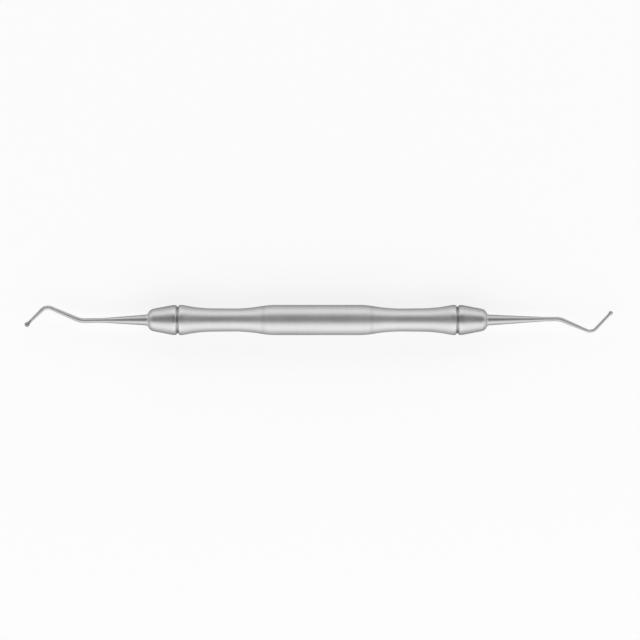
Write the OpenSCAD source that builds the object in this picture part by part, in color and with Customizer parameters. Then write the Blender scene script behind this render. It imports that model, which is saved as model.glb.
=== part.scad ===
// Double-ended ball plugger, a dental hand instrument that packs filling material.
// It lies on a table: z = 0 is the table, the handle's axis runs along X, and both
// working ends are bent in the level plane through that axis.

/* [Handle] */
// Length between the ends of the two noses
handle_l = 101; // [93:1:140]
// Diameter of the swell in the middle and of the shoulders beside the grooves
swell_d = 8.9; // [8:0.1:11]
// Diameter of the waist, where the grip is thinnest
waist_d = 6.7; // [6.2:0.1:7.8]
// Diameter of the grip where it starts to flare towards the shoulder
grip_d = 6.94; // [6.6:0.02:7.8]
// Length of the slope from the swell down to the waist
slope_l = 7.2; // [5:0.1:10]
// Length of the grip from the waist to the foot of the flare
grip_l = 13.6; // [10:0.1:18]
// Length of the flare from its foot up to the shoulder
flare_l = 4.7; // [3.5:0.1:7]
// Length of the shoulder from the flare to the bottom of the groove
shoulder_l = 1.6; // [1.4:0.1:3]
// Diameter of the bore through the handle
bore_d = 4.8; // [4:0.1:5.4]

/* [Blends] */
// Blend radius where the swell turns into the slope
swell_blend = 20; // [5:1:30]
// Blend radius of the hollow at the waist
waist_blend = 40; // [10:1:60]
// Blend radius of the hollow at the foot of the flare
flare_blend = 36; // [10:1:60]
// Blend radius of the crest of the shoulder
shoulder_blend = 7; // [1:0.5:12]
// Radius on both edges of a groove
groove_edge = 0.35; // [0.1:0.05:0.4]

/* [Grooves and rings] */
// Width of the V groove at the seam between handle and nose
groove_w = 1.16; // [0.6:0.02:1.8]
// Depth of the V groove
groove_depth = 0.6; // [0.3:0.05:0.8]
// Distance of a fine turned ring outwards from the top of the slope
ring_setback = 1.8; // [0.5:0.1:3]
// Width of a fine turned ring
ring_w = 0.4; // [0.2:0.05:0.8]
// Depth of a fine turned ring
ring_depth = 0.05; // [0.02:0.01:0.15]

/* [Noses] */
// Length of a nose from the bottom of the groove to its end
nose_l = 9.2; // [7.5:0.1:12]
// Diameter of the nose beside the groove
nose_d = 8.82; // [7.8:0.02:8.9]
// Length of the straight land beside the groove
nose_land_l = 0.9; // [0.6:0.1:2]
// Diameter at the small end of the cone
nose_tip_d = 6.2; // [5.4:0.02:7]
// Blend radius between land and cone
nose_blend = 3.5; // [1:0.5:6]
// Length of the end of the nose, from the cone down to the lip
nose_end_l = 0.6; // [0.3:0.05:1.2]
// Rounding of the end of the nose
nose_round = 2; // [0.8:0.1:2.2]
// Length of the lip round the shank
lip_l = 0.35; // [0.35:0.05:0.8]
// Wall of the lip
lip_wall = 0.14; // [0.1:0.02:0.3]
// Radius of the hollow between the end of the nose and the lip
lip_blend = 0.5; // [0.2:0.05:0.5]
// Length of the spigot that carries the nose in the bore
spigot_l = 7; // [4:0.5:12]
// Chamfer at the inner end of the spigot
spigot_chamfer = 0.4; // [0.2:0.1:0.6]
// Radial clearance of the spigot and of the tangs in their seats
seat = 0.02; // [0.01:0.01:0.05]

/* [Shanks] */
// Diameter of the tang and of the shank where it leaves the nose
root_d = 3.14; // [2.8:0.02:3.5]
// Length of the tang inside the nose
tang_l = 11.5; // [7:0.5:13]
// Chamfer at the inner end of a tang
tang_chamfer = 0.3; // [0.1:0.1:0.6]
// Bend radius of the slight lean at the nose
lean_r = 30; // [15:5:60]
// Bend radius of the first bend
first_r = 6; // [3:0.5:9]
// Bend radius of the second bend
second_r = 2.4; // [1.6:0.1:3.2]

/* [Left working end] */
// Angle at which the shank leans off the handle's axis
left_lean = 0.5; // [0.2:0.1:2]
// Length of the tapered stretch of the shank
left_taper_l = 13.1; // [10:0.1:16]
// Diameter of the thin stretch and of the first bend
left_thin_d = 1.36; // [1.2:0.02:1.8]
// Distance from the nose to the corner of the first bend
left_first_l = 19.6; // [18:0.1:26]
// Angle of the middle leg to the handle's axis
left_middle_angle = 23.2; // [15:0.1:35]
// Length of the middle leg from corner to corner
left_middle_l = 11; // [8:0.1:15]
// Diameter of the second bend
left_second_d = 1.12; // [0.8:0.02:1.3]
// Angle of the tip leg to the handle's axis
left_tip_angle = 44.5; // [30:0.5:60]
// Length of the tip leg from the corner to the end of the ball
left_tip_l = 8.55; // [7:0.05:12]
// Diameter of the neck behind the ball
left_neck_d = 0.77; // [0.6:0.01:0.9]
// Diameter of the ball
left_ball_d = 1.44; // [1.1:0.02:2]
// Blend radius from the neck into the ball
left_ball_blend = 1.8; // [0.5:0.1:4]

/* [Right working end] */
// Angle at which the shank leans off the handle's axis
right_lean = 0.9; // [0.2:0.1:2]
// Length of the tapered stretch of the shank
right_taper_l = 16.7; // [12:0.1:18]
// Diameter of the thin stretch and of the first bend
right_thin_d = 1.26; // [1.1:0.02:1.7]
// Distance from the nose to the corner of the first bend
right_first_l = 21; // [20.5:0.1:28]
// Angle of the middle leg to the handle's axis
right_middle_angle = 23; // [15:0.5:35]
// Length of the middle leg from corner to corner
right_middle_l = 10.4; // [8:0.1:15]
// Diameter of the second bend
right_second_d = 0.9; // [0.7:0.02:1.1]
// Angle of the tip leg to the handle's axis
right_tip_angle = 46.4; // [30:0.1:60]
// Length of the tip leg from the corner to the end of the ball
right_tip_l = 8.65; // [7:0.05:12]
// Diameter of the neck behind the ball
right_neck_d = 0.78; // [0.6:0.01:0.85]
// Diameter of the ball
right_ball_d = 1.2; // [1:0.02:1.8]
// Blend radius from the neck into the ball
right_ball_blend = 3; // [0.5:0.1:4]

/* [Hidden] */
$fa = 1.5;
$fs = 0.15;

// A cut runs this far past the face that it starts from
past = 0.5;
// Largest distance between a blend and the chords that stand for it
arc_error = 0.002;
// Each stretch of a shank starts this far inside the one before it, and is thinner there
// by a hair, so that the stretches join into one solid
lap = 0.05;
hair = 0.01;

// Stations along the axis, measured from the middle of the handle
face_at = handle_l / 2;
groove_at = face_at - nose_l;
shoulder_at = groove_at - shoulder_l;
flare_at = shoulder_at - flare_l;
waist_at = flare_at - grip_l;
swell_at = waist_at - slope_l;
ring_at = swell_at + ring_setback;
lip_at = face_at - lip_l;

groove_bottom_d = swell_d - 2 * groove_depth;
spigot_d = bore_d - 2 * seat;
socket_d = root_d + 2 * seat;
lip_d = socket_d + 2 * lip_wall;

// The right half of the handle's outline, as [station, diameter, blend radius]
handle_side = [
    [swell_at, swell_d, swell_blend],
    [waist_at, waist_d, waist_blend],
    [flare_at, grip_d, flare_blend],
    [shoulder_at, swell_d, shoulder_blend],
    [groove_at - groove_w / 2, swell_d, groove_edge],
    [groove_at, groove_bottom_d, 0]
];

// The nose's outline from its seat in the groove to the end of the lip round the shank
nose_side = [
    [groove_at, groove_bottom_d, 0],
    [groove_at + groove_w / 2, nose_d, groove_edge],
    [groove_at + groove_w / 2 + nose_land_l, nose_d, nose_blend],
    [lip_at - nose_end_l, nose_tip_d, nose_round],
    [lip_at, lip_d, lip_blend],
    [face_at, lip_d, 0]
];

// The same corners on the other side of the middle, in rising order
function mirrored(side) = [
    for (i = [len(side) - 1 : -1 : 0]) [-side[i][0], side[i][1], side[i][2]]
];

// Direction from one point to another
function towards(from, to) = (to - from) / norm(to - from);

// Angle by which a path turns at the middle one of three points, left is positive
function turn_at(before, at, after) =
    let (u = towards(before, at), v = towards(at, after))
    atan2(u.x * v.y - u.y * v.x, u * v);

// Points along an arc, close enough that no chord strays from it by more than arc_error
function arc_points(centre, radius, from, to) =
    let (steps = max(2, ceil(abs(to - from) / (2 * acos(1 - arc_error / radius)))))
    [for (i = [0 : steps]) let (a = from + (to - from) * i / steps)
        centre + radius * [cos(a), sin(a)]];

// Points of the blend at one corner, where the path turns by an angle
function blend_points(before, at, after, turn, cut) =
    let (
        radius = cut / tan(abs(turn) / 2),
        start = at + cut * towards(at, before),
        along = towards(before, at),
        side = sign(turn),
        centre = start + side * radius * [-along.y, along.x],
        from = atan2(start.y - centre.y, start.x - centre.x)
    )
    arc_points(centre, radius, from, from + turn);

// A solid turned about Z from corners that rise along it. Each corner is blended by its
// own radius, and neighbours that would run into each other share the side between them.
module turned(corners) {
    p = [for (c = corners) [c[1] / 2, c[0]]];
    last = len(p) - 1;
    turn = [for (i = [0 : last]) i == 0 || i == last ? 0 : turn_at(p[i - 1], p[i], p[i + 1])];
    wanted = [for (i = [0 : last]) corners[i][2] * tan(abs(turn[i]) / 2)];
    share = [for (i = [0 : last - 1])
        min(1, 0.98 * norm(p[i + 1] - p[i]) / max(wanted[i] + wanted[i + 1], 0.001))];
    cut = [for (i = [0 : last]) wanted[i] * min(share[max(i - 1, 0)], share[min(i, last - 1)])];
    rotate_extrude() polygon([
        [0, p[0].y],
        for (i = [0 : last]) each cut[i] == 0
            ? [p[i]]
            : blend_points(p[i - 1], p[i], p[i + 1], turn[i], cut[i]),
        if (p[last].x > 0) [0, p[last].y]
    ]);
}

// Turns a shape that was made along Z to lie along X, with its own X towards +Y
module lie_down() {
    rotate([90, 0, 90]) children();
}

// Raises a shape to the height of the handle's axis
module on_table() {
    translate([0, 0, swell_d / 2]) children();
}

// Radius of the handle on the slope, where a ring is turned into it
function slope_r(station) =
    (swell_d - (swell_d - waist_d) * (station - swell_at) / slope_l) / 2;

// A shallow ring cut round the slope
module ring_cut(station) {
    translate([0, 0, station - ring_w / 2]) difference() {
        cylinder(h = ring_w, r = swell_d);
        translate([0, 0, -past]) cylinder(h = ring_w + 2 * past, r = slope_r(station) - ring_depth);
    }
}

module handle() {
    color("silver") on_table() lie_down() difference() {
        turned(concat(mirrored(handle_side), handle_side));
        translate([0, 0, -groove_at - past]) cylinder(h = 2 * (groove_at + past), d = bore_d);
        ring_cut(ring_at);
        rotate([180, 0, 0]) ring_cut(ring_at);
    }
}

// A nose plugs the handle's bore with its spigot and holds a tang in its socket
module nose() {
    difference() {
        union() {
            turned(nose_side);
            translate([0, 0, groove_at - spigot_l]) {
                cylinder(h = spigot_chamfer, d1 = spigot_d - 2 * spigot_chamfer, d2 = spigot_d);
                translate([0, 0, spigot_chamfer]) cylinder(h = spigot_l - spigot_chamfer, d = spigot_d);
            }
        }
        translate([0, 0, face_at - tang_l]) cylinder(h = tang_l + past, d = socket_d);
    }
}

module left_nose() {
    color("silver") on_table() rotate([0, 0, 180]) lie_down() nose();
}

module right_nose() {
    color("silver") on_table() lie_down() nose();
}

// A straight leg, with what follows it at its far end
module leg(length, near_d, far_d) {
    translate([0, 0, -lap]) cylinder(h = length + lap, d1 = near_d - 2 * hair, d2 = far_d);
    translate([0, 0, length]) children();
}

// A bend towards +X, or towards -X where the angle is negative, with what follows it
module bend(d, radius, angle) {
    side = angle < 0 ? 180 : 0;
    sweep = abs(angle);
    lap_angle = atan(lap / radius);
    rotate([0, 0, side]) {
        translate([radius, 0, 0]) rotate([90, 0, 180]) rotate([0, 0, -lap_angle])
            rotate_extrude(angle = sweep + lap_angle) translate([radius, 0]) circle(d = d - hair);
        translate([radius * (1 - cos(sweep)), 0, radius * sin(sweep)])
            rotate([0, sweep, 0]) rotate([0, 0, -side]) children();
    }
}

// Length from the start of the blend behind a ball to the ball's middle
function ball_reach(neck_d, ball_d, blend) =
    sqrt(pow(ball_d / 2 + blend, 2) - pow(neck_d / 2 + blend, 2));

// A ball that grows out of its neck in one smooth hollow blend
module ball(neck_d, ball_d, blend) {
    reach = ball_reach(neck_d, ball_d, blend);
    touch_angle = -atan2(reach, neck_d / 2 + blend);
    rotate_extrude() polygon([
        [0, -lap],
        [(neck_d - hair) / 2, -lap],
        each arc_points([neck_d / 2 + blend, 0], blend + hair / 2, 180, 180 + touch_angle),
        for (p = arc_points([0, reach], ball_d / 2, touch_angle, 90)) [max(p.x, 0), p.y]
    ]);
}

// One working end in one piece: tang, tapered shank, two bends and ball.
// Legs are given from corner to corner, so each bend takes its share off both of its legs.
module working_end(lean, taper_l, thin_d, first_l, middle_angle, middle_l, second_d,
                   tip_angle, tip_l, neck_d, ball_d, ball_blend) {
    first_turn = lean + middle_angle;
    second_turn = middle_angle + tip_angle;
    lean_cut = lean_r * tan(lean / 2);
    first_cut = first_r * tan(first_turn / 2);
    second_cut = second_r * tan(second_turn / 2);
    ball_l = ball_reach(neck_d, ball_d, ball_blend) + ball_d / 2;
    translate([0, 0, face_at - tang_l]) {
        cylinder(h = tang_chamfer, d1 = root_d - 2 * tang_chamfer, d2 = root_d);
        translate([0, 0, tang_chamfer]) cylinder(h = tang_l - tang_chamfer, d = root_d);
    }
    translate([0, 0, face_at])
        bend(root_d, lean_r, lean)
        leg(taper_l - 2 * lean_cut, root_d, thin_d)
        leg(first_l - taper_l - first_cut, thin_d, thin_d)
        bend(thin_d, first_r, -first_turn)
        leg(middle_l - first_cut - second_cut, thin_d, second_d)
        bend(second_d, second_r, second_turn)
        leg(tip_l - second_cut - ball_l, second_d, neck_d)
        ball(neck_d, ball_d, ball_blend);
}

module left_working_end() {
    color("darkgray") on_table() rotate([0, 0, 180]) lie_down()
        working_end(left_lean, left_taper_l, left_thin_d, left_first_l, left_middle_angle,
            left_middle_l, left_second_d, left_tip_angle, left_tip_l,
            left_neck_d, left_ball_d, left_ball_blend);
}

module right_working_end() {
    color("darkgray") on_table() lie_down()
        working_end(right_lean, right_taper_l, right_thin_d, right_first_l, right_middle_angle,
            right_middle_l, right_second_d, right_tip_angle, right_tip_l,
            right_neck_d, right_ball_d, right_ball_blend);
}

handle();
left_nose();
right_nose();
left_working_end();
right_working_end();
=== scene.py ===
import math

import bmesh
import bpy
from mathutils import Matrix, Vector


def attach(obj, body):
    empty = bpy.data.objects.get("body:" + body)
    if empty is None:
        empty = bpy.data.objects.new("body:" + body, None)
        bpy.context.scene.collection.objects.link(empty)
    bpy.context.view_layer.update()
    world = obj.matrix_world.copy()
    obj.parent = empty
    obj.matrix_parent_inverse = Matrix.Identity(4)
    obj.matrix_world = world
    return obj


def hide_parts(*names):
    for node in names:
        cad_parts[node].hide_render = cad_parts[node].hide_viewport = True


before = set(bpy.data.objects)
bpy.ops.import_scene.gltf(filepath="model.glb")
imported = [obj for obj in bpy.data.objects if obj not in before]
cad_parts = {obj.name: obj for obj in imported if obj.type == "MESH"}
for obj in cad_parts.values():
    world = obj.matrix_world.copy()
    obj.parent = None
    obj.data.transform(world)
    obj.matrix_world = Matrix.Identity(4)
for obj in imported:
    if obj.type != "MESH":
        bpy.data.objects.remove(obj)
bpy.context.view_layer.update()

# A ball plugger: a waisted round steel handle with a nose at each end, and in each nose a
# tapered and bent working end that finishes in a small ball. The pieces are drawn in
# millimetres and then brought to metres. Names in _D, _R, _L and _W are diameters, radii,
# lengths and widths
MM = 0.001

# Handle
HANDLE_L = 101
SWELL_D = 8.9
WAIST_D = 6.7
GRIP_D = 6.94
SLOPE_L = 7.2
GRIP_L = 13.6
FLARE_L = 4.7
SHOULDER_L = 1.6
BORE_D = 4.8
SWELL_BLEND = 20
WAIST_BLEND = 40
FLARE_BLEND = 36
SHOULDER_BLEND = 7

# Grooves and rings
GROOVE_EDGE = 0.35
GROOVE_W = 1.16
GROOVE_DEPTH = 0.6
RING_SETBACK = 1.8
RING_W = 0.4
RING_DEPTH = 0.05

# Noses
NOSE_L = 9.2
NOSE_D = 8.82
NOSE_LAND_L = 0.9
NOSE_TIP_D = 6.2
NOSE_BLEND = 3.5
NOSE_END_L = 0.6
NOSE_ROUND = 2
LIP_L = 0.35
LIP_WALL = 0.14
LIP_BLEND = 0.5
SPIGOT_L = 7
SPIGOT_CHAMFER = 0.4
SEAT = 0.02

# Working ends: what both share, then each one's own lengths, angles and the painted shade that
# darkens its ball
ROOT_D = 3.14
TANG_L = 11.5
TANG_CHAMFER = 0.3
LEAN_R = 30
FIRST_R = 6
SECOND_R = 2.4
LEFT_END = dict(
    lean=0.5, taper_l=13.1, thin_d=1.36, first_l=19.6, middle_angle=23.2, middle_l=11,
    second_d=1.12, tip_angle=44.5, tip_l=8.55, neck_d=0.77, ball_d=1.44, ball_blend=1.8,
    painted_ball_shade=0.34,
)
RIGHT_END = dict(
    lean=0.9, taper_l=16.7, thin_d=1.26, first_l=21, middle_angle=23, middle_l=10.4,
    second_d=0.9, tip_angle=46.4, tip_l=8.65, neck_d=0.78, ball_d=1.2, ball_blend=3,
    painted_ball_shade=0.12,
)

# Stations along the axis from the middle of the handle
FACE = HANDLE_L / 2
LIP = FACE - LIP_L
GROOVE = FACE - NOSE_L
SHOULDER = GROOVE - SHOULDER_L
FLARE = SHOULDER - FLARE_L
WAIST = FLARE - GRIP_L
SWELL = WAIST - SLOPE_L
RING = SWELL + RING_SETBACK

GROOVE_BOTTOM_D = SWELL_D - 2 * GROOVE_DEPTH
SPIGOT_D = BORE_D - 2 * SEAT
SOCKET_D = ROOT_D + 2 * SEAT
LIP_D = SOCKET_D + 2 * LIP_WALL

# Facets that the eye can't tell from a true round: round the axis, along a blend, and
# along a rod, where a leg's step is in millimetres and a bend's step in degrees
ROUND_STEPS = 128
SHANK_STEPS = 48
BLEND_STEPS = 10
HOLLOW_STEPS = 8
BALL_STEPS = 16
TANG_STEP = 2
LEG_STEP = 0.7
BEND_STEP = 4

# Points nearer than this in millimetres become one, and an edge that turns by more degrees
# than this looks sharp
MERGE_DISTANCE = 1e-5
SHARP_EDGE = 30

# Each side of the instrument is drawn along X and put on the table by one of these
AXIS_Z = SWELL_D / 2
TO_RIGHT = Matrix.Translation((0, 0, AXIS_Z))
TO_LEFT = TO_RIGHT @ Matrix.Rotation(math.pi, 4, "Z")

# The steels' tones, and the part of them that a shade of 0 and of 1 stands for
SATIN_TONE = (0.49, 0.49, 0.49)
GROUND_TONE = (0.41, 0.41, 0.413)
SHADE_RANGE = (0.5, 1.5)
MIDDLE_SHADE = 0.5
SATIN_ROUGHNESS = 0.47
GROUND_ROUGHNESS = 0.43

# How much a steel face mirrors where it is seen edge on
EDGE_TINT = 0.1

# Patterns in the steels, by their waves a millimetre
SATIN_GRAIN = dict(waves=11, detail=3)
SATIN_MOTTLE = dict(waves=1.3, detail=2)
SATIN_CLOUD = dict(waves=0.15, detail=2)
TURNING_MARKS = dict(waves=5, detail=3, stretch=(1, 0.02, 0.02))
GRINDING_LINES = dict(waves=9, detail=3, stretch=(0.05, 1, 1))
GROUND_MOTTLE = dict(waves=1.6, detail=2)
GROUND_CLOUD = dict(waves=0.3, detail=2)

# How far from the end of a ball its polish starts, and how far from it it is full
BALL_POLISH = (2.8, 1.8)

# The photograph's side in pixels, its millimetres a pixel, and how many pixels its middle
# lies to the right of the handle's
PHOTO_SIDE = 640
PIXEL = 0.2954
VIEW_SHIFT = 2.5

# The camera's sensor and lens in millimetres, and how near and how far it sees in metres
SENSOR = 36
LENS = 190
CLIP = (0.01, 10)

# The floor's half side in metres, its tone, and its share of plain white for the rays that
# look at it
FLOOR_SIZE = 3
FLOOR_TONE = 0.9
FLOOR_WHITE = 0.78
LOOKING_RAYS = ("Is Camera Ray", "Is Glossy Ray", "Is Transmission Ray")

# Soft lamps: the side that they stand on, in degrees round from the photograph's lower side,
# their height in degrees, their distance and size in metres, and how bright they look
LAMPS = {
    "lamp_below": dict(side=0, height=33, distance=0.6, size=(2.6, 0.77), brightness=1.65),
    "lamp_above": dict(side=180, height=24.5, distance=0.6, size=(2.6, 0.5), brightness=1.5),
    "lamp_left": dict(side=-90, height=14, distance=0.9, size=(1.2, 0.44), brightness=0.3),
    "lamp_right": dict(side=90, height=14, distance=0.9, size=(1.2, 0.44), brightness=0.55),
}

# How bright the room round the lamps is
STUDIO_LEVEL = 0.24

# Numbers of the Mix node's colour sockets, and of the Mix Shader's two shaders, because
# their names aren't single
DARK_COLOUR, LIGHT_COLOUR, MIXED_COLOUR = 6, 7, 2
FIRST_SHADER, SECOND_SHADER = 1, 2


class Value:
    """A shader socket that takes part in Python sums."""

    def __init__(self, shader, socket):
        self.shader = shader
        self.socket = socket

    def maths(self, operation, *others):
        """One Math node on this value and others."""
        return self.shader.node("Math", dict(enumerate((self, *others))), operation=operation)

    def __add__(self, other):
        return self.maths("ADD", other)

    def __mul__(self, other):
        return self.maths("MULTIPLY", other)

    def __sub__(self, other):
        return self.maths("SUBTRACT", other)

    def __rsub__(self, other):
        return self * -1 + other

    def __abs__(self):
        return self.maths("ABSOLUTE")

    __radd__ = __add__
    __rmul__ = __mul__


class Shader:
    """A material's node tree, built by calls."""

    def __init__(self, name):
        self.material = bpy.data.materials.new(name)
        self.material.use_nodes = True
        self.tree = self.material.node_tree
        self.tree.nodes.clear()

    def node(self, kind, links=None, out=0, **settings):
        """A node of this kind, its settings made first and its sockets fed next."""
        made = self.tree.nodes.new("ShaderNode" + kind)
        for key, value in settings.items():
            setattr(made, key, value)
        for key, value in (links or {}).items():
            if isinstance(value, Value):
                self.tree.links.new(value.socket, made.inputs[key])
            else:
                made.inputs[key].default_value = value
        return Value(self, made.outputs[out])

    def noise(self, place, waves, detail, stretch=None):
        """Noise from 0 to 1, with longer waves in the directions where the stretch is small."""
        if stretch:
            place = self.node("Mapping", {"Vector": place, "Scale": stretch})
        return self.node("TexNoise", {"Vector": place, "Scale": waves, "Detail": detail})

    def rise(self, value, low, high):
        """0 below the low end, 1 above the high end and smooth between them."""
        ends = {"Value": value, "From Min": low, "From Max": high}
        return self.node("MapRange", ends, interpolation_type="SMOOTHSTEP")

    def band(self, value, centre, half, edge):
        """1 within half a width of the centre, falling to 0 over the edge."""
        return 1 - self.rise(abs(value - centre), half, half + edge)

    def metal(self, shade, tone, roughness, height):
        """Bare metal of a tone, darker or lighter by its shade, with a height in millimetres."""
        dark, light = (tuple(channel * part for channel in tone) + (1,) for part in SHADE_RANGE)
        colour = self.node(
            "Mix", {"Factor": shade, DARK_COLOUR: dark, LIGHT_COLOUR: light},
            out=MIXED_COLOUR, data_type="RGBA",
        )
        bump = self.node("Bump", {"Height": height, "Distance": MM})
        surface = self.node("BsdfPrincipled", {
            "Base Color": colour, "Roughness": roughness, "Normal": bump,
            "Metallic": 1, "Specular Tint": grey(EDGE_TINT),
        })
        return self.finish(surface)

    def finish(self, surface):
        """Puts the surface on the material's output."""
        output = self.tree.nodes.new("ShaderNodeOutputMaterial")
        self.tree.links.new(surface.socket, output.inputs["Surface"])
        return self.material


def grey(level):
    return (level, level, level, 1)


def varied(middle, *patterns):
    """A middle value, which each pattern moves up and down by its share."""
    return sum((share * (pattern - 0.5) for pattern, share in patterns), middle)


def satin_steel():
    """Stainless steel for the handle and noses, finely blasted over the marks of turning.
    The grooves and their edges are turned afterwards, so they are smoother; the grooves are
    lightened by painted light, and painted light makes the hollows beside the lips bright."""
    shader = Shader("satin_steel")
    # Millimetres about the axis of the handle
    place = shader.node("Mapping", {
        "Vector": shader.node("TexCoord", out="Object"),
        "Location": (0, 0, -AXIS_Z), "Scale": (1 / MM, 1 / MM, 1 / MM),
    })
    along = abs(shader.node("SeparateXYZ", {"Vector": place}))
    grain = shader.noise(place, **SATIN_GRAIN)
    mottle = shader.noise(place, **SATIN_MOTTLE)
    cloud = shader.noise(place, **SATIN_CLOUD)
    marks = shader.noise(place, **TURNING_MARKS)
    on_nose = shader.rise(along, low=GROOVE, high=GROOVE + 0.1)
    in_groove = shader.band(along, GROOVE, half=0.05, edge=GROOVE_W / 2)
    by_groove = shader.band(along, GROOVE, half=1, edge=1)
    at_ring = shader.band(along, RING, half=0.1, edge=0.9)
    # Painted light: the hollows beside the lips are made lighter
    painted_light_by_lip = shader.band(along, LIP - LIP_BLEND / 2, half=0.2, edge=0.3)
    # Painted light lightens the grooves
    shade = (varied(MIDDLE_SHADE, (cloud, 0.15), (mottle, 0.1), (marks, 0.12))
             + 0.12 * in_groove - 0.06 * on_nose - 0.07 * at_ring + 0.35 * painted_light_by_lip)
    roughness = (varied(SATIN_ROUGHNESS, (cloud, 0.06), (mottle, 0.05), (marks, 0.05))
                 - 0.05 * on_nose - 0.06 * by_groove - 0.08 * in_groove)
    height = 0.005 * grain + 0.003 * mottle + 0.003 * marks
    return shader.metal(shade, SATIN_TONE, roughness, height)


def ground_steel(name, length, painted_ball_shade):
    """Stainless steel for a working end of this length, ground lengthwise, the ball polished
    and darkened by its painted shade, and the root of the shank darkened by painted shade."""
    shader = Shader(name)
    # Millimetres along and about the rod as it was before its bends
    place = shader.node("Attribute", out="Vector", attribute_name="straight")
    along = shader.node("SeparateXYZ", {"Vector": place})
    lines = shader.noise(place, **GRINDING_LINES)
    mottle = shader.noise(place, **GROUND_MOTTLE)
    cloud = shader.noise(place, **GROUND_CLOUD)
    polish_start, polish_full = BALL_POLISH
    on_ball = shader.rise(along, low=length - polish_start, high=length - polish_full)
    # Painted shade: darker at the root of the shank, where it goes into the nose, and darker on
    # the ball
    painted_shade_at_root = 1 - shader.rise(along, low=0.05, high=0.35)
    shade = (varied(MIDDLE_SHADE, (cloud, 0.12), (mottle, 0.08), (lines, 0.12))
             - 0.12 * painted_shade_at_root - painted_ball_shade * on_ball)
    roughness = varied(GROUND_ROUGHNESS, (cloud, 0.06), (lines, 0.08)) - 0.12 * on_ball
    height = (0.003 * lines + 0.001 * mottle) * (1 - on_ball)
    return shader.metal(shade, GROUND_TONE, roughness, height)


def finished(bm, name, node, steel, place):
    """Makes a piece of a shape that was drawn along X, and puts it in its node's place."""
    bmesh.ops.remove_doubles(bm, verts=bm.verts, dist=MERGE_DISTANCE)
    bmesh.ops.recalc_face_normals(bm, faces=bm.faces)
    bmesh.ops.transform(bm, matrix=Matrix.Scale(MM, 4) @ place, verts=bm.verts)
    mesh = bpy.data.meshes.new(name)
    bm.to_mesh(mesh)
    bm.free()
    mesh.shade_smooth()
    mesh.set_sharp_from_angle(angle=math.radians(SHARP_EDGE))
    mesh.materials.append(steel)
    piece = bpy.data.objects.new(name, mesh)
    bpy.context.scene.collection.objects.link(piece)
    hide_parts(node)
    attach(piece, "root")


def turned(corners, closed):
    """A lathe piece: an outline of corners, each blended by its radius, spun about X."""
    bm = bmesh.new()
    points = [Vector((x, d / 2, 0)) for x, d, _ in corners]
    blends = [blend for _, _, blend in corners]
    verts = [bm.verts.new(point) for point in points]
    sides = list(zip(verts, verts[1:]))
    if closed:
        sides.append((verts[-1], verts[0]))
    for side in sides:
        bm.edges.new(side)
    for i, blend in enumerate(blends):
        if blend:
            before, after = points[i - 1], points[(i + 1) % len(points)]
            turn = (points[i] - before).angle(after - points[i])
            bmesh.ops.bevel(
                bm, geom=[verts[i]], offset=blend * math.tan(turn / 2), affect="VERTICES",
                segments=BLEND_STEPS, profile=0.5, material=-1,
            )
    bmesh.ops.spin(
        bm, geom=bm.verts[:] + bm.edges[:], cent=(0, 0, 0), axis=(1, 0, 0),
        angle=math.tau, steps=ROUND_STEPS, use_merge=True,
    )
    return bm


def slope_d(x):
    """Diameter of the handle on its slope."""
    return SWELL_D - (SWELL_D - WAIST_D) * (x - SWELL) / SLOPE_L


def handle(steel):
    """The handle's tube, drawn from its swell to one groove and along its bore to the other."""
    near, far = RING - RING_W / 2, RING + RING_W / 2
    side = [
        (SWELL, SWELL_D, SWELL_BLEND),
        (near, slope_d(near), 0),
        (near, slope_d(near) - 2 * RING_DEPTH, 0),
        (far, slope_d(far) - 2 * RING_DEPTH, 0),
        (far, slope_d(far), 0),
        (WAIST, WAIST_D, WAIST_BLEND),
        (FLARE, GRIP_D, FLARE_BLEND),
        (SHOULDER, SWELL_D, SHOULDER_BLEND),
        (GROOVE - GROOVE_W / 2, SWELL_D, GROOVE_EDGE),
        (GROOVE, GROOVE_BOTTOM_D, 0),
        (GROOVE, BORE_D, 0),
    ]
    other_side = [(-x, d, blend) for x, d, blend in reversed(side)]
    shape = turned(side + other_side, closed=True)
    finished(shape, "handle_tube", "handle", steel, TO_RIGHT)


def nose(name, node, place, steel):
    """A nose with its spigot, its cone, the lip round the shank and the socket of the tang."""
    shape = turned([
        (GROOVE - SPIGOT_L, 0, 0),
        (GROOVE - SPIGOT_L, SPIGOT_D, SPIGOT_CHAMFER),
        (GROOVE, SPIGOT_D, 0),
        (GROOVE, GROOVE_BOTTOM_D, 0),
        (GROOVE + GROOVE_W / 2, NOSE_D, GROOVE_EDGE),
        (GROOVE + GROOVE_W / 2 + NOSE_LAND_L, NOSE_D, NOSE_BLEND),
        (LIP - NOSE_END_L, NOSE_TIP_D, NOSE_ROUND),
        (LIP, LIP_D, LIP_BLEND),
        (FACE, LIP_D, 0),
        (FACE, SOCKET_D, 0),
        (FACE - TANG_L, SOCKET_D, 0),
        (FACE - TANG_L, 0, 0),
    ], closed=False)
    finished(shape, name, node, steel, place)


def ball_reach(neck_r, ball_r, blend):
    """Length from the end of a neck to the middle of the ball that a hollow blends it into."""
    return math.sqrt((ball_r + blend) ** 2 - (neck_r + blend) ** 2)


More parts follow.
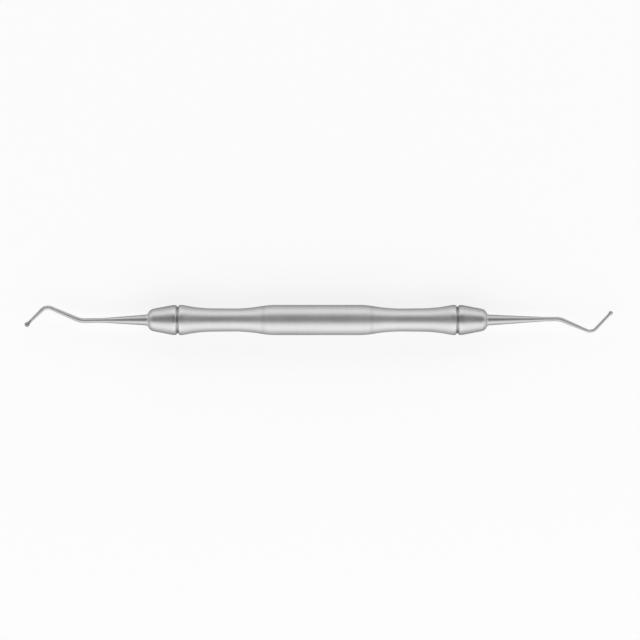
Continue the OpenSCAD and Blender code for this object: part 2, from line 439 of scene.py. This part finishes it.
class Rod:
    """A round rod that grows ring by ring along X, with bends in the level plane.
    Each of its points remembers its place on the rod as it was before the bends."""

    def __init__(self, x, d):
        self.bm = bmesh.new()
        self.straight = self.bm.verts.layers.float_vector.new("straight")
        self.middle = Vector((x, 0, 0))
        self.heading = Vector((1, 0, 0))
        self.along = x - FACE
        self.d = d
        bmesh.ops.create_circle(
            self.bm, cap_ends=True, cap_tris=True, segments=SHANK_STEPS, radius=d / 2,
            matrix=Matrix.Translation(self.middle) @ Matrix.Rotation(math.pi / 2, 4, "Y"),
        )
        self.edges = [e for e in self.bm.edges if e.is_boundary]
        self.remember(self.bm.verts)

    def remember(self, verts):
        """Notes where on the straight rod the points of the newest ring are."""
        back = self.heading.rotation_difference(Vector((1, 0, 0)))
        for v in verts:
            place = back @ (v.co - self.middle)
            v[self.straight] = Vector((self.along, place.y, place.z))

    def ring(self, length, d):
        """Grows one straight step, to another diameter."""
        made = bmesh.ops.extrude_edge_only(self.bm, edges=self.edges)["geom"]
        verts = [v for v in made if isinstance(v, bmesh.types.BMVert)]
        self.edges = [e for e in made if isinstance(e, bmesh.types.BMEdge)]
        here = Matrix.Translation(-self.middle)
        bmesh.ops.scale(self.bm, vec=Vector((1, 1, 1)) * d / self.d, space=here, verts=verts)
        bmesh.ops.translate(self.bm, vec=self.heading * length, verts=verts)
        self.middle += self.heading * length
        self.along += length
        self.d = d
        self.remember(verts)
        return verts

    def leg(self, length, d, step=LEG_STEP):
        """Grows a straight or tapered leg in short steps."""
        steps = max(1, round(length / step))
        start = self.d
        for i in range(steps):
            self.ring(length / steps, start + (d - start) * (i + 1) / steps)

    def bend(self, radius, degrees):
        """Bends to the left, or to the right where the angle is negative."""
        steps = max(2, round(abs(degrees) / BEND_STEP))
        angle = math.radians(degrees) / steps
        left = Vector((-self.heading.y, self.heading.x, 0))
        centre = self.middle + left * math.copysign(radius, angle)
        turn = Matrix.Rotation(angle, 3, "Z")
        for _ in range(steps):
            verts = list({v for e in self.edges for v in e.verts})
            made = bmesh.ops.spin(
                self.bm, geom=verts + self.edges, cent=centre, axis=(0, 0, 1),
                angle=angle, steps=1,
            )["geom_last"]
            self.edges = [e for e in made if isinstance(e, bmesh.types.BMEdge)]
            self.middle = centre + turn @ (self.middle - centre)
            self.heading = turn @ self.heading
            self.along += radius * abs(angle)
            self.remember(v for v in made if isinstance(v, bmesh.types.BMVert))

    def ball(self, d, blend):
        """Grows a hollow blend and a ball out of the neck, and closes it at its pole."""
        neck_r, ball_r = self.d / 2, d / 2
        reach = ball_reach(neck_r, ball_r, blend)
        touch = math.atan2(reach, neck_r + blend)
        hollow_turns = [touch * i / HOLLOW_STEPS for i in range(1, HOLLOW_STEPS + 1)]
        ball_turns = [
            -touch + (math.pi / 2 + touch) * i / BALL_STEPS for i in range(1, BALL_STEPS)
        ]
        outline = [
            (blend * math.sin(a), neck_r + blend * (1 - math.cos(a))) for a in hollow_turns
        ] + [
            (reach + ball_r * math.sin(a), ball_r * math.cos(a)) for a in ball_turns
        ]
        gone = 0
        for x, radius in outline:
            self.ring(x - gone, 2 * radius)
            gone = x
        pole = self.ring(reach + ball_r - gone, self.d)
        bmesh.ops.pointmerge(self.bm, verts=pole, merge_co=self.middle)


def working_end(name, node, place, lean, taper_l, thin_d, first_l, middle_angle, middle_l,
                second_d, tip_angle, tip_l, neck_d, ball_d, ball_blend, painted_ball_shade):
    """A working end from its tang to its ball. The lengths run from corner to corner of the
    bends, so each leg is shorter by what the bends cut off it."""
    first_turn = lean + middle_angle
    second_turn = middle_angle + tip_angle
    lean_cut = LEAN_R * math.tan(math.radians(lean / 2))
    first_cut = FIRST_R * math.tan(math.radians(first_turn / 2))
    second_cut = SECOND_R * math.tan(math.radians(second_turn / 2))
    ball_l = ball_reach(neck_d / 2, ball_d / 2, ball_blend) + ball_d / 2
    rod = Rod(FACE - TANG_L, ROOT_D - 2 * TANG_CHAMFER)
    rod.ring(TANG_CHAMFER, ROOT_D)
    rod.leg(TANG_L - TANG_CHAMFER, ROOT_D, TANG_STEP)
    rod.bend(LEAN_R, lean)
    rod.leg(taper_l - 2 * lean_cut, thin_d)
    rod.leg(first_l - taper_l - first_cut, thin_d)
    rod.bend(FIRST_R, -first_turn)
    rod.leg(middle_l - first_cut - second_cut, second_d)
    rod.bend(SECOND_R, second_turn)
    rod.leg(tip_l - second_cut - ball_l, neck_d)
    rod.ball(ball_d, ball_blend)
    # The ball's painted shade goes into the steel here
    steel = ground_steel(name + "_steel", rod.along, painted_ball_shade)
    finished(rod.bm, name, node, steel, place)


def camera():
    """Straight above the instrument, with the photograph's width of view."""
    data = bpy.data.cameras.new("camera")
    data.sensor_width = SENSOR
    data.lens = LENS
    data.clip_start, data.clip_end = CLIP
    cam = bpy.data.objects.new("camera", data)
    distance = LENS / SENSOR * PHOTO_SIDE * PIXEL
    cam.location = Vector((VIEW_SHIFT * PIXEL, 0, AXIS_Z + distance)) * MM
    bpy.context.scene.collection.objects.link(cam)
    bpy.context.scene.camera = cam


def floor():
    """A pale matt floor that keeps the shadow and is nearly white to look at."""
    shader = Shader("pale_floor")
    camera_ray, glossy_ray, clear_ray = (shader.node("LightPath", out=ray) for ray in LOOKING_RAYS)
    looking = camera_ray.maths("MAXIMUM", glossy_ray).maths("MAXIMUM", clear_ray)
    matt = shader.node("BsdfDiffuse", {"Color": grey(FLOOR_TONE)})
    white = shader.node("Emission", {"Color": grey(1), "Strength": 1})
    surface = shader.node("MixShader", {
        "Fac": looking * FLOOR_WHITE, FIRST_SHADER: matt, SECOND_SHADER: white,
    })
    bm = bmesh.new()
    bmesh.ops.create_grid(bm, x_segments=1, y_segments=1, size=FLOOR_SIZE)
    mesh = bpy.data.meshes.new("floor")
    bm.to_mesh(mesh)
    bm.free()
    mesh.materials.append(shader.finish(surface))
    plane = bpy.data.objects.new("floor", mesh)
    bpy.context.scene.collection.objects.link(plane)


def softbox(name, side, height, distance, size, brightness):
    """A soft lamp that faces the instrument, given by how bright it is to look at."""
    data = bpy.data.lights.new(name, "AREA")
    data.shape = "RECTANGLE"
    data.size, data.size_y = size
    data.energy = brightness * math.pi * size[0] * size[1]
    lamp = bpy.data.objects.new(name, data)
    turn = Matrix.Rotation(math.radians(side), 4, "Z")
    tilt = Matrix.Rotation(math.radians(90 - height), 4, "X")
    lamp.matrix_world = turn @ tilt @ Matrix.Translation((0, 0, distance))
    lamp.visible_camera = False
    bpy.context.scene.collection.objects.link(lamp)


def studio():
    """An evenly lit room with the soft lamps in it."""
    room = bpy.data.worlds.new("studio")
    room.use_nodes = True
    room.node_tree.nodes["Background"].inputs["Color"].default_value = grey(STUDIO_LEVEL)
    bpy.context.scene.world = room
    for name, settings in LAMPS.items():
        softbox(name, **settings)


camera()
studio()
floor()
satin = satin_steel()
handle(satin)
nose("left_nose_plug", "left_nose", TO_LEFT, satin)
nose("right_nose_plug", "right_nose", TO_RIGHT, satin)
working_end("left_plugger", "left_working_end", TO_LEFT, **LEFT_END)
working_end("right_plugger", "right_working_end", TO_RIGHT, **RIGHT_END)

bpy.context.scene.view_settings.view_transform = "Standard"
